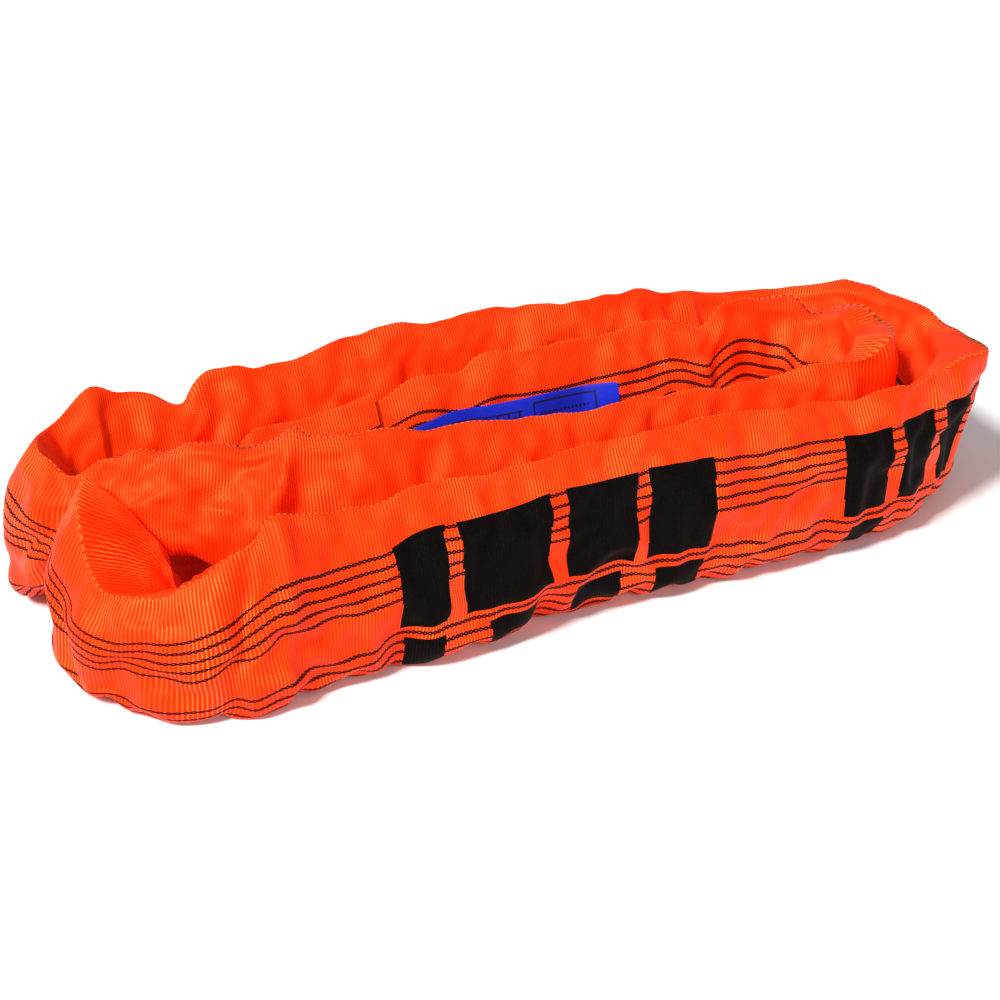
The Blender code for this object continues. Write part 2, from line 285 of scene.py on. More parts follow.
# A fold runs from one place in the cloth to another: x and y near it on the route, cloth distance from
# the fold at both ends, shift along the route between the ends, half width, depth (minus is a valley)
FOLDS = [
    # front outer strand, outward face
    (-168, -77, 0, 95, 22, 6, 9.0), (-154, -77, 4, 100, 10, 6, -9.0), (-118, -76, 0, 60, -20, 7, -3.0),
    (-95, -76, 10, 90, 12, 9, 2.6), (-60, -76, 0, 45, -14, 8, 2.2), (-44, -76, 0, 60, 10, 6, -2.6),
    (-10, -76, 60, 100, 20, 7, -3.0), (35, -76, 0, 40, 18, 8, 1.8), (62, -76, 0, 80, -10, 7, -2.0),
    (95, -76, 50, 105, 26, 8, -3.2), (128, -76, 0, 50, 10, 7, 2.2), (160, -76, 0, 80, -16, 8, -2.8),
    (-20, -76, 88, 108, -60, 5, -3.0), (70, -76, 90, 108, -50, 5, -2.6), (-120, -76, 84, 106, -40, 6, -3.0),
    # left lobe
    (-186, -76, 8, 100, 24, 9, -5.0), (-205, -71, 20, 100, 20, 10, 3.0),
    # front inner strand, outward face beside the fold
    (-128, -27, 0, 60, 22, 5, -4.5), (-150, -20, 0, 70, 30, 10, 3.0), (-100, -32, 0, 50, -16, 10, -2.0),
    (-60, -34, 0, 40, 14, 8, 2.0), (0, -34, 0, 40, -12, 9, -1.8), (60, -34, 0, 40, 12, 8, 1.6),
    (-185, -4, 0, 80, 46, 7, 4.0),
    # back inner strand, inward face
    (-70, 35, -2, -50, 26, 6, -3.0), (-20, 35, 0, -50, -16, 8, 2.4), (10, 35, 0, -60, 18, 9, -2.2),
    (58, 35, 0, -60, -12, 9, 2.4), (112, 35, 0, -50, 8, 8, -3.4), (140, 35, 0, -60, 8, 7, 2.8),
    (100, 35, -34, -80, 6, 10, -2.4),
    # back outer strand
    (-152, 77, 0, -50, -18, 8, -4.0), (-138, 77, 0, -60, -8, 9, 3.0), (-184, 77, 0, -60, -22, 8, 3.0),
    (-100, 77, 0, -50, 16, 9, -2.0), (-40, 77, 4, -30, 40, 7, -2.0), (60, 77, 2, -26, 26, 6, -2.4),
    (120, 77, 0, -40, 20, 7, 2.2),
    # left lobe, inward face of the back strand
    (-196, 77, 0, -70, -6, 7, -6.0), (-182, 77, -4, -60, 14, 8, 4.0), (-170, 77, -10, -70, -12, 6, -3.5),
    (-146, 77, 0, -60, 10, 6, -5.0), (-133, 77, -6, -60, -12, 7, 4.0),
    # right turns: crumples where the cloth is crowded on the inside
    (172, 29, -30, 34, 4, 7, -5.0), (182, 20, -34, 30, -6, 6, 4.0), (188, 6, -34, 36, 6, 7, -4.5),
    (186, -10, -34, 30, -8, 7, 3.5), (180, -22, -30, 40, 6, 6, -4.0), (165, -32, 0, 50, -8, 7, 3.0),
    (212, 48, -30, 30, 8, 9, -3.0), (230, -4, -34, 60, 6, 8, -3.5),
    (222, -34, 0, 70, 10, 8, 2.5), (205, -57, 0, 70, -8, 7, -3.0), (186, -70, 0, 60, 10, 7, 2.0),
    # outward face of the crossing strand, inside the pocket
    (-204, 8, 2, 78, 58, 6, 9.0), (-190, -2, 20, 90, 66, 9, -5.0), (-128, -27, 0, 66, 26, 5, -8.0),
    # left lobe's outward face: a pleat below the pinch
    (-222, 25, 4, 46, -16, 6, 6.0), (-226, 36, 0, 60, -8, 7, -4.0),
]


def fold_height(s, q):
    """Height of the listed folds at cloth places, in mm along the outward normal."""
    height = np.zeros(np.broadcast(s, q).shape)
    for x, y, q0, q1, shift, width, depth in FOLDS:
        s0 = length_at(x, y)
        along = (s - s0 + TOTAL / 2) % TOTAL - TOTAL / 2
        run = np.array([shift, q1 - q0], float)
        size = np.hypot(*run)
        t = np.clip((along * run[0] + (q - q0) * run[1]) / size ** 2, 0, 1)
        away = np.hypot(along - t * run[0], q - q0 - t * run[1])
        fade = 0.35 + 0.65 * np.sin(np.pi * np.clip(t * 0.9 + 0.08, 0, 1))
        height += depth * fade * np.exp(-(away / width) ** 1.15)
    return height


def slow_noise(s, q, seed, size_s, size_q):
    """Smooth noise between -1 and 1 over the cloth, from a few sine waves."""
    rng = np.random.default_rng(seed)
    total = np.zeros(np.broadcast(s, q).shape)
    for _ in range(7):
        fs, fq = rng.uniform(0.5, 1.5) / size_s, rng.uniform(-1.0, 1.0) / size_q
        total += np.sin(2 * np.pi * (fs * s + fq * q) + rng.uniform(0, 2 * np.pi))
    return total / 7 ** 0.5 / 1.6


def normals_of(grid):
    along = np.gradient(grid, axis=0)
    around = np.gradient(grid, axis=1)
    n = np.cross(around, along)
    return n / np.maximum(np.linalg.norm(n, axis=-1, keepdims=True), 1e-9)


def lap_inset(s):
    full = LAP + 2
    t = np.clip((s - full) / LAP_EASE, 0, 1)
    return LAP_STEP * (1 - t * t * (3 - 2 * t))


def settled(s, q, grid):
    """Cloth above the floor and outside the core."""
    grid[..., 2] = np.maximum(grid[..., 2], FLOOR_GAP)
    return clear_of_core(s, q, grid)


def sleeve_shape(s, q):
    """The sleeve as it was laid: its section, its listed folds and slow waves, in mm."""
    grid = sleeve_points(s, q, lap_inset(s))
    calm = np.clip((s - LAP - 10) / 40, 0, 1) * np.clip((TOTAL - 8 - s) / 30, 0, 1)
    lower = np.clip(1.15 - np.abs(q) / HALF_CLOTH, 0, 1) ** 0.5
    small = 1.0 * slow_noise(s, q, 3, 46, 70) + 0.4 * slow_noise(s, q, 8, 19, 40)
    height = (fold_height(s, q) + small) * calm * lower
    grid = grid + normals_of(grid) * height[..., None]
    return settled(s, q, grid)


def simulated_move(grid, hold):
    """How far each place moves, in mm, when cloth a little too large buckles, held softly to this shape."""
    rows, cols = grid.shape[:2]
    last = cols - 1
    mesh = bpy.data.meshes.new("slack_cloth")
    mesh.from_pydata((grid[:, :last] * MM).reshape(-1, 3).tolist(), [], grid_faces(rows, cols, wrap=True))
    cloth = link(bpy.data.objects.new("slack_cloth", mesh))
    group = cloth.vertex_groups.new(name="hold")
    for i, weight in enumerate(hold[:, :last].ravel()):
        group.add([i], float(weight), "REPLACE")
    modifier = cloth.modifiers.new("cloth", "CLOTH")
    settings = modifier.settings
    settings.quality = SIM_QUALITY
    settings.mass = 0.05
    settings.tension_stiffness = settings.compression_stiffness = 12.0
    settings.shear_stiffness = 6.0
    settings.bending_model = "ANGULAR"
    settings.bending_stiffness = SIM_BENDING
    settings.air_damping = 2.0
    settings.vertex_group_mass = "hold"
    settings.pin_stiffness = SIM_HOLD
    settings.shrink_min = -SIM_SLACK
    settings.effector_weights.gravity = 0.0
    modifier.collision_settings.use_collision = False
    modifier.point_cache.frame_end = SIM_FRAMES
    scene = bpy.context.scene
    for frame_number in range(1, SIM_FRAMES + 1):
        scene.frame_set(frame_number)
    done = cloth.evaluated_get(bpy.context.evaluated_depsgraph_get())
    places = np.empty(len(mesh.vertices) * 3, np.float32)
    done.data.vertices.foreach_get("co", places)
    scene.frame_set(1)
    bpy.data.objects.remove(cloth, do_unlink=True)
    moved = places.reshape(rows, last, 3) / MM
    moved = np.concatenate([moved, moved[:, :1]], axis=1)
    return moved - grid


def finer(values, rows, cols):
    """A coarse grid of values read at a finer grid, by cubic steps along and across."""
    i = np.linspace(0, values.shape[0] - 1, rows)
    j = np.linspace(0, values.shape[1] - 1, cols)
    for axis, places in ((0, i), (1, j)):
        low = np.clip(np.floor(places).astype(int), 0, values.shape[axis] - 2)
        share = (places - low).reshape((-1, 1, 1) if axis == 0 else (1, -1, 1))
        last = values.shape[axis] - 1
        near = [np.take(values, np.clip(low + k, 0, last), axis=axis) for k in (-1, 0, 1, 2)]
        values = spline(*near, share)
    return values


def blurred(values, reach):
    """Mean of the neighbours within a reach, along and across."""
    for axis in (0, 1):
        pad = [(0, 0)] * values.ndim
        pad[axis] = (reach, reach)
        padded = np.pad(values, pad, mode="edge")
        size, width = values.shape[axis], 2 * reach + 1
        values = sum(np.take(padded, range(k, k + size), axis=axis) for k in range(width)) / width
    return values


def move_limit(s, q):
    """How far the buckled cloth may move, in mm: little at the lap, the crossing and the underside."""
    cross = window(s, length_at(-150, -20), length_at(-215, 15), 20)
    under = window(s, length_at(-222, -6), length_at(-150, 30), 20)
    ends = np.clip((s - LAP - 4) / 30, 0, 1) * np.clip((TOTAL - 8 - s) / 20, 0, 1)
    low = np.clip((HALF_CLOTH - np.abs(q)) / 22, 0.15, 1) * np.clip(0.15 + np.abs(q) / 45, 0, 1)
    upper_face = np.where((cross > 0) & (np.abs(q) < 45), 1.0, 1 - 0.8 * cross)
    label = window(s, LAP, length_at(62, BACK_INNER), 8) * (q < 0)
    return MOST_MOVE * ends * low * upper_face * (1 - 0.75 * under) * (1 - 0.7 * label)


def sleeve_grid():
    count = int((TOTAL + LAP) / STEP / 2) * 2
    s = np.linspace(0, TOTAL + LAP, count + 1)[:, None]
    q = np.linspace(-HALF_CLOTH, HALF_CLOTH, RING + 1)[None, :]
    s, q = np.broadcast_arrays(s, q)
    grid = sleeve_shape(s, q)
    hold = 0.25 + 0.75 * (1 - move_limit(s, q) / MOST_MOVE)
    move = simulated_move(grid[::2, ::2], hold[::2, ::2])
    move = finer(move - blurred(move, MOVE_BLUR), *grid.shape[:2])
    size = np.linalg.norm(move, axis=-1, keepdims=True)
    limit = move_limit(s, q)[..., None]
    move = move * (limit / np.maximum(size, 1e-6)) * np.tanh(size / np.maximum(limit, 1e-6))
    grid = settled(s, q, grid + move)
    return s, q, grid


# ---------------------------------------------------------------- meshes

def link(obj):
    bpy.context.scene.collection.objects.link(obj)
    return obj


def grid_faces(rows, cols, wrap):
    """Faces of a grid; where it wraps, its last column is its first."""
    last = cols - 1 if wrap else cols
    return [(i * last + j, i * last + (j + 1) % last, (i + 1) * last + (j + 1) % last, (i + 1) * last + j)
            for i in range(rows - 1) for j in range(cols - 1)]


def grid_object(name, grid, uv, material, wrap):
    """Mesh of a grid of places in mm, with its cloth coordinates as a UV map in decimetres."""
    rows, cols = grid.shape[:2]
    verts = (grid[:, :-1] if wrap else grid).reshape(-1, 3) * MM
    mesh = bpy.data.meshes.new(name)
    mesh.from_pydata(verts.tolist(), [], grid_faces(rows, cols, wrap))
    add_uv(mesh, "cloth", uv)
    mesh.shade_smooth()
    mesh.materials.append(material)
    return link(bpy.data.objects.new(name, mesh))


def add_uv(mesh, name, uv):
    """UV map of a grid's coordinates in mm, kept in decimetres."""
    corners = np.stack([uv[:-1, :-1], uv[:-1, 1:], uv[1:, 1:], uv[1:, :-1]], axis=2)
    mesh.uv_layers.new(name=name).data.foreach_set("uv", (corners / 100.0).astype(np.float32).ravel())


def crease_column(obj, column, columns, amount):
    """Keep one lengthwise line of a grid mesh sharp when it is subdivided."""
    mesh = obj.data
    crease = mesh.attributes.new("crease_edge", "FLOAT", "EDGE")
    values = [amount if all(v % columns == column for v in edge.vertices) else 0.0 for edge in mesh.edges]
    crease.data.foreach_set("value", values)


# ---------------------------------------------------------------- materials

class Nodes:
    """Short calls for building one node material."""

    def __init__(self, name):
        self.material = bpy.data.materials.new(name)
        self.material.use_nodes = True
        self.tree = self.material.node_tree
        self.shader = self.tree.nodes["Principled BSDF"]

    def set(self, socket, value):
        if isinstance(value, bpy.types.NodeSocket):
            self.tree.links.new(value, socket)
        else:
            socket.default_value = value

    def math(self, operation, a, b=0.0, c=0.0, clamp=False):
        node = self.tree.nodes.new("ShaderNodeMath")
        node.operation = operation
        node.use_clamp = clamp
        for socket, value in zip(node.inputs, (a, b, c)):
            self.set(socket, value)
        return node.outputs[0]

    def mix(self, factor, a, b):
        node = self.tree.nodes.new("ShaderNodeMix")
        node.data_type = "RGBA"
        self.set(node.inputs["Factor"], factor)
        self.set(node.inputs["A"], a)
        self.set(node.inputs["B"], b)
        return node.outputs["Result"]

    def between(self, value, low, high):
        above = self.math("GREATER_THAN", value, low)
        return self.math("MULTIPLY", above, self.math("LESS_THAN", value, high))

    def places(self):
        """Object coordinates."""
        return self.tree.nodes.new("ShaderNodeTexCoord").outputs["Object"]

    def split(self, vector):
        node = self.tree.nodes.new("ShaderNodeSeparateXYZ")
        self.tree.links.new(vector, node.inputs[0])
        return node.outputs

    def noise(self, scale, detail=2.0):
        node = self.tree.nodes.new("ShaderNodeTexNoise")
        node.inputs["Scale"].default_value = scale
        node.inputs["Detail"].default_value = detail
        self.set(node.inputs["Vector"], self.places())
        return node.outputs["Fac"]

    def cloth(self, uv_map="cloth"):
        """Cloth coordinates in mm: along and across."""
        node = self.tree.nodes.new("ShaderNodeUVMap")
        node.uv_map = uv_map
        along, across, _ = self.split(node.outputs[0])
        return self.math("MULTIPLY", along, 100.0), self.math("MULTIPLY", across, 100.0)

    def bump(self, height, distance, strength=1.0):
        node = self.tree.nodes.new("ShaderNodeBump")
        node.inputs["Strength"].default_value = strength
        node.inputs["Distance"].default_value = distance
        self.set(node.inputs["Height"], height)
        self.tree.links.new(node.outputs[0], self.shader.inputs["Normal"])


def smooth_wave(nodes, value, pitch, offset=0.0):
    """0 to 1 and back over a pitch, as rounded ribs."""
    turn_value = nodes.math("MULTIPLY_ADD", value, 2 * math.pi / pitch, offset)
    return nodes.math("MULTIPLY_ADD", nodes.math("COSINE", turn_value), 0.5, 0.5)


def stripe_mask(nodes, s, away):
    """Chain-like stripes: two strands cross and part along each stripe line."""
    pitches = nodes.math("DIVIDE", away, STRIPE)
    wave = nodes.math("SINE", nodes.math("MULTIPLY", s, math.pi / CHAIN))
    swing = nodes.math("MULTIPLY", wave, CHAIN_SWING)
    total = None
    for start in (FIRST_STRIPE, SECOND_GROUP):
        group = nodes.math("SUBTRACT", pitches, start - 0.5)
        inside = nodes.between(group, 0.0, 5.0)
        offset = nodes.math("MULTIPLY", nodes.math("SUBTRACT", nodes.math("FRACT", group), 0.5), STRIPE)
        for way in ("ADD", "SUBTRACT"):
            strand = nodes.math("ABSOLUTE", nodes.math(way, offset, swing))
            on = nodes.math("MULTIPLY", inside, nodes.math("LESS_THAN", strand, CHAIN_STRAND))
            total = on if total is None else nodes.math("MAXIMUM", total, on)
    return total


def woven_blocks():
    """Blocks woven into the outer face: row, x of its upper edge's ends, x of its lower edge's ends, y."""
    front = [
        (0, (-106, -80), (-104, -82)), (0, (-74, -26), (-72, -28)), (0, (-18, 18), (-19, 16)),
        (0, (25, 60), (24, 58)), (0, (132, 158), (134, 160)), (0, (165, 190), (167, 190)),
        (0, (198, 222), (200, 220)),
        (1, (-102, -84), (-101, -85)), (1, (-62, -36), (-61, -38)), (1, (-14, 12), (-14, 10)),
        (1, (28, 56), (29, 54)), (1, (138, 158), (139, 158)),
    ]
    back = [
        (0, (-120, -94), (-118, -95)), (0, (-86, -40), (-84, -42)), (0, (22, 54), (24, 54)),
        (0, (62, 96), (64, 96)),
    ]
    return [(*block, FRONT_OUTER) for block in front] + [(*block, BACK_OUTER) for block in back]


def block_mask(nodes, s, q):
    """Blocks with edges stepped by the ribs."""
    s = nodes.math("MULTIPLY", nodes.math("ROUND", nodes.math("DIVIDE", s, RIB / 2)), RIB / 2)
    rows = (((FIRST_STRIPE - 0.3) * STRIPE, (SECOND_GROUP - 0.5) * STRIPE),
            ((SECOND_GROUP + 0.5) * STRIPE, (SECOND_GROUP + 3.5) * STRIPE))
    total = None
    for number, upper, lower, y in woven_blocks():
        low, high = rows[number]
        t = nodes.math("DIVIDE", nodes.math("SUBTRACT", q, low), high - low)
        (a0, b0), (a1, b1) = [sorted(length_at(x, y) for x in edge) for edge in (upper, lower)]
        after = nodes.math("GREATER_THAN", s, nodes.math("MULTIPLY_ADD", t, a1 - a0, a0))
        before = nodes.math("LESS_THAN", s, nodes.math("MULTIPLY_ADD", t, b1 - b0, b0))
        mask = nodes.math("MULTIPLY", nodes.between(q, low, high), nodes.math("MULTIPLY", after, before))
        total = mask if total is None else nodes.math("MAXIMUM", total, mask)
    return total


def sleeve_material():
    nodes = Nodes("sleeve_weave")
    s, q = nodes.cloth()
    wobble = nodes.math("MULTIPLY", nodes.math("SUBTRACT", nodes.noise(35.0), 0.5), 1.4)
    along = nodes.math("ADD", s, wobble)
    away = nodes.math("ABSOLUTE", q)
    rib = smooth_wave(nodes, along, RIB)
    pick = nodes.math("MULTIPLY", nodes.math("FLOOR", nodes.math("DIVIDE", along, RIB)), math.pi)
    stitch = smooth_wave(nodes, q, 1.3, pick)
    thread = nodes.math("MULTIPLY", rib, nodes.math("MULTIPLY_ADD", stitch, 0.35, 0.65))
    rib_crest = nodes.math("POWER", thread, 5.0)
    # Patches in which the rib crests carry painted highlights
    glint_patch_noise = nodes.noise(38.0, 2.0)
    glint_patches = nodes.math("MULTIPLY_ADD", glint_patch_noise, 7.0, -3.3, clamp=True)
    glint_patches = nodes.math("MULTIPLY_ADD", glint_patches, 0.85, 0.15)
    lit = nodes.math("MULTIPLY", rib_crest, glint_patches)
    # Painted shade in the rib grooves, and painted highlight lines on the crests in patches
    ground = nodes.mix(lit, nodes.mix(thread, CLOTH_GROOVE_SHADE, CLOTH_ORANGE), CLOTH_LIT)
    # Along the fold, teeth of painted shade and painted light
    run, across = nodes.cloth("fold")
    edge = nodes.math("LESS_THAN", nodes.math("ABSOLUTE", across), EDGE_WIDTH)
    tooth = nodes.mix(smooth_wave(nodes, run, 2 * RIB), EDGE_SHADE, EDGE_LIT)
    ground = nodes.mix(edge, ground, tooth)
    fleck = nodes.math("MULTIPLY", rib_crest, nodes.math("GREATER_THAN", nodes.noise(900.0, 1.0), 0.56))
    black = nodes.mix(fleck, STRIPE_BLACK, STRIPE_FLECK)
    dark = nodes.math("MAXIMUM", stripe_mask(nodes, s, away), block_mask(nodes, s, q), clamp=True)
    nodes.set(nodes.shader.inputs["Base Color"], nodes.mix(dark, ground, black))
    rough = nodes.math("MULTIPLY_ADD", rib_crest, -0.22, 0.55)
    nodes.set(nodes.shader.inputs["Roughness"], nodes.math("MULTIPLY_ADD", dark, 0.2, rough))
    nodes.set(nodes.shader.inputs["Specular IOR Level"], nodes.math("MULTIPLY_ADD", dark, -0.28, 0.38))
    tint = nodes.mix(dark, (1.0, 0.42, 0.12, 1), (0.35, 0.3, 0.28, 1))
    nodes.set(nodes.shader.inputs["Specular Tint"], tint)
    nodes.shader.inputs["Sheen Weight"].default_value = 0.03
    nodes.shader.inputs["Sheen Roughness"].default_value = 0.4
    nodes.shader.inputs["Sheen Tint"].default_value = (1.0, 0.35, 0.08, 1)
    raised = nodes.math("MULTIPLY_ADD", dark, 0.35, thread)
    nodes.bump(raised, 0.0002, 0.34)
    return nodes.material


def plain_weave(name, low, high, pitch, roughness=0.8):
    """Fine woven or spun material for pieces without cloth coordinates."""
    nodes = Nodes(name)
    place = nodes.split(nodes.places())
    x = nodes.math("MULTIPLY", nodes.math("ADD", place[0], place[1]), 1000.0)
    z = nodes.math("MULTIPLY", place[2], 1000.0)
    weave = nodes.math("MULTIPLY", smooth_wave(nodes, x, pitch), smooth_wave(nodes, z, pitch * 0.7))
    factor = nodes.math("MULTIPLY", weave, 0.5)
    factor = nodes.math("MULTIPLY_ADD", nodes.noise(220.0, 3.0), 0.6, factor)
    nodes.set(nodes.shader.inputs["Base Color"], nodes.mix(factor, (*low, 1), (*high, 1)))
    nodes.set(nodes.shader.inputs["Roughness"], nodes.math("MULTIPLY_ADD", weave, -0.15, roughness))
    nodes.bump(weave, 0.0003, 0.6)
    return nodes.material


def thread_material(name, low, high):
    """Twisted sewing thread."""
    nodes = Nodes(name)
    place = nodes.split(nodes.places())
    run = nodes.math("MULTIPLY", nodes.math("ADD", place[0], place[2]), 1000.0)
    ply = smooth_wave(nodes, run, 0.7)
    nodes.set(nodes.shader.inputs["Base Color"], nodes.mix(ply, (*low, 1), (*high, 1)))
    nodes.set(nodes.shader.inputs["Roughness"], nodes.math("MULTIPLY_ADD", ply, -0.2, 0.7))
    nodes.bump(ply, 0.0002, 0.6)
    return nodes.material


def area_mask(nodes, u, v, left, right, bottom, top):
    """1 inside a rectangle of the label, in mm."""
    return nodes.math("MULTIPLY", nodes.between(u, left, right), nodes.between(v, bottom, top))


def label_ink(nodes, u, v):
    """A row of small boxes with a mark in each, a framed field, and plain ruled marks."""
    cell = nodes.math("FRACT", nodes.math("DIVIDE", u, BOX_PITCH))
    from_middle = nodes.math("ABSOLUTE", nodes.math("SUBTRACT", cell, 0.5))
    hollow = nodes.math("MULTIPLY", nodes.math("LESS_THAN", from_middle, 0.40), nodes.between(v, 6.3, 11.7))
    boxes = nodes.math("MULTIPLY", area_mask(nodes, u, v, 8, 74, 5.5, 12.5),
                       nodes.math("SUBTRACT", 1.0, hollow))
    marks = nodes.math("MULTIPLY", area_mask(nodes, u, v, 8, 74, 7.8, 10.2),
                       nodes.math("LESS_THAN", from_middle, 0.13))
    frame_line = nodes.math("SUBTRACT", area_mask(nodes, u, v, 80, 116, 3, 40),
                            area_mask(nodes, u, v, 81, 115, 4, 39))
    line = nodes.math("GREATER_THAN", nodes.math("FRACT", nodes.math("DIVIDE", v, 5.0)), 0.72)
    dash = nodes.math("GREATER_THAN", nodes.math("FRACT", nodes.math("DIVIDE", u, 2.3)), 0.35)
    ruled_areas = nodes.math("MAXIMUM", area_mask(nodes, u, v, 84, 112, 6, 37),
                             area_mask(nodes, u, v, 10, 70, 16, 40))
    ruled = nodes.math("MULTIPLY", nodes.math("MULTIPLY", line, dash), ruled_areas)
    ink = boxes
    for mask in (marks, frame_line, ruled):
        ink = nodes.math("MAXIMUM", ink, mask, clamp=True)
    return ink


def label_material():
    """Blue label cloth with plain print."""
    nodes = Nodes("label_cloth")
    u, v = nodes.cloth()
    ink = label_ink(nodes, u, v)
    weave = nodes.math("MULTIPLY", smooth_wave(nodes, u, LABEL_WEAVE), smooth_wave(nodes, v, LABEL_WEAVE))
    tone = nodes.math("MULTIPLY_ADD", nodes.noise(70.0, 3.0), 0.7, nodes.math("MULTIPLY", weave, 0.3))
    blue = nodes.mix(tone, LABEL_DARK, LABEL_BLUE)
    nodes.set(nodes.shader.inputs["Base Color"], nodes.mix(ink, blue, LABEL_INK))
    nodes.set(nodes.shader.inputs["Roughness"], nodes.math("MULTIPLY_ADD", weave, -0.12, 0.55))
    nodes.shader.inputs["Specular IOR Level"].default_value = 0.3
    nodes.bump(nodes.math("MULTIPLY_ADD", ink, 0.3, weave), 0.00015, 0.5)
    return nodes.material


# ---------------------------------------------------------------- pieces

def ride_for(piece, body, node):
    """Let a piece ride a body in place of a CAD node."""
    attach(piece, body)
    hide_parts(node)


def make_sleeve():
    s, q, grid = sleeve_grid()
    uv = cloth_coordinates(s, q)
    sleeve = grid_object("sleeve_cloth", grid, uv, sleeve_material(), wrap=True)
    add_uv(sleeve.data, "fold", np.stack([s, q], axis=-1))
    crease_column(sleeve, RING // 2, RING, 0.9)
    smooth = sleeve.modifiers.new("smooth", "SUBSURF")
    smooth.levels = smooth.render_levels = 1
    ride_for(sleeve, "sling", "sleeve")
    make_seams(s, q, grid)


def label_grid(leg_piece):
    """Places in mm, and cloth coordinates, of the label's flap or of its sewn leg."""
    length, steps = (LABEL_LEG, 12) if leg_piece else (LABEL_LENGTH, 50)
    u = np.linspace(0, length, steps + 1)[:, None]
    v = np.linspace(0, LABEL_DROP, 19)[None, :]
    u, v = np.broadcast_arrays(u, v)
    start = LAP - 0.6 - LABEL_LEG if leg_piece else LAP + 0.8
    s = start + u
    probe = np.linspace(-8, -80, 145)
    heights = sleeve_points(s[:, :1], probe[None, :])[..., 2]
    along = u[:, 0] / length
    edge = LABEL_TOP - (0 if leg_piece else 1) * 9.0 * np.clip(1 - along * 3.2, 0, 1) ** 1.5
    top = np.array([np.interp(-e, -h, probe) for e, h in zip(edge, heights)])
    q = top[:, None] - v
    if leg_piece:
        return u, v, sleeve_points(s, q, 2.05)
    grid = sleeve_points(s, q, -1.0)
    ripple = 1.3 * np.sin(u / 11.0 + v / 30.0) * np.sin(np.pi * along[:, None])
    ripple = 1.6 + ripple + 0.8 * np.sin(u / 27.0 + 1.0)
    curl = 11.0 * np.clip((u / length - 0.86) / 0.14, 0, 1) ** 2 * np.clip(1.15 - v / LABEL_DROP, 0, 1)
    push = (ripple + curl) * np.clip(u / 8.0, 0.25, 1)
    return u, v, grid + normals_of(grid) * push[..., None]


def make_label():
    material = label_material()
    for name, leg_piece in (("label_cloth", False), ("label_leg_cloth", True)):
        u, v, grid = label_grid(leg_piece)
        piece = grid_object(name, grid, np.stack([u, v], axis=-1), material, wrap=False)
        thick = piece.modifiers.new("thick", "SOLIDIFY")
        thick.thickness = LABEL_THICK * MM
        thick.offset = 0.0
        smooth = piece.modifiers.new("smooth", "SUBSURF")
        smooth.levels = smooth.render_levels = 1
        body, node = ("sling", "label_sewn_leg") if leg_piece else ("label", "label_flap")
        ride_for(piece, body, node)
    make_hem()


def make_hem():
    """Hem stitches along the flap's sewn edge."""
    u, v, grid = label_grid(False)
    out = normals_of(grid)
    places = []
    for k in range(31):
        j = 1 + (grid.shape[1] - 3) * k / 30
        i = 1 if k % 2 else 2
        places.append(lerp_row(grid[i] + out[i] * 0.75, j))
    material = thread_material("label_thread", (0.004, 0.004, 0.005), (0.03, 0.03, 0.035))
    hem = tube("label_hem", np.array(places), 0.32, material)
    ride_for(hem, "label", "label_hem_stitch")


def lerp_row(row_places, j):
    low = int(j)
    share = j - low
    return row_places[low] * (1 - share) + row_places[min(low + 1, len(row_places) - 1)] * share


def tube(name, places, radius, material, sides=6):
    """A thread of round section through places in mm."""
    along = np.gradient(places, axis=0)
    along /= np.linalg.norm(along, axis=1, keepdims=True)
    side = np.cross(along, np.array([0.02, 0.05, 1.0]))
    side /= np.linalg.norm(side, axis=1, keepdims=True)
    up = np.cross(side, along)
    turns = np.arange(sides) * 2 * math.pi / sides
    round_line = side[:, None] * np.cos(turns)[:, None] + up[:, None] * np.sin(turns)[:, None]
    rings = places[:, None] + radius * round_line
    bm = bmesh.new()
    verts = [[bm.verts.new(p * MM) for p in ring] for ring in rings]
    for a, b in zip(verts, verts[1:]):
        for k in range(sides):
            bm.faces.new((a[k], a[(k + 1) % sides], b[(k + 1) % sides], b[k]))
    bm.faces.new(list(reversed(verts[0])))
    bm.faces.new(verts[-1])
    bmesh.ops.recalc_face_normals(bm, faces=bm.faces)
    mesh = bpy.data.meshes.new(name)
    bm.to_mesh(mesh)
    bm.free()
    mesh.shade_smooth()
    mesh.materials.append(material)
    return link(bpy.data.objects.new(name, mesh))


def core_place(s, n, up):
    """Places in mm inside the sleeve: n outwards and up above its underside."""
    rows, outward = route_at(s)
    plan = rows[..., :2] + outward * (n + foot_shift(rows, up))[..., None]
    return np.concatenate([plan, (rows[..., 2] + up)[..., None]], axis=-1)


def closed_loft(name, rings, material):
    """Closed mesh through rings of places in mm, the last joined to the first."""
    count, sides = rings.shape[:2]
    faces = [(i * sides + k, i * sides + (k + 1) % sides, (i + 1) % count * sides + (k + 1) % sides,
              (i + 1) % count * sides + k) for i in range(count) for k in range(sides)]
    mesh = bpy.data.meshes.new(name)
    mesh.from_pydata((rings * MM).reshape(-1, 3).tolist(), [], faces)
    bm = bmesh.new()
    bm.from_mesh(mesh)
    bmesh.ops.recalc_face_normals(bm, faces=bm.faces)
    bm.to_mesh(mesh)
    bm.free()
    mesh.shade_smooth()
    mesh.materials.append(material)
    return link(bpy.data.objects.new(name, mesh))


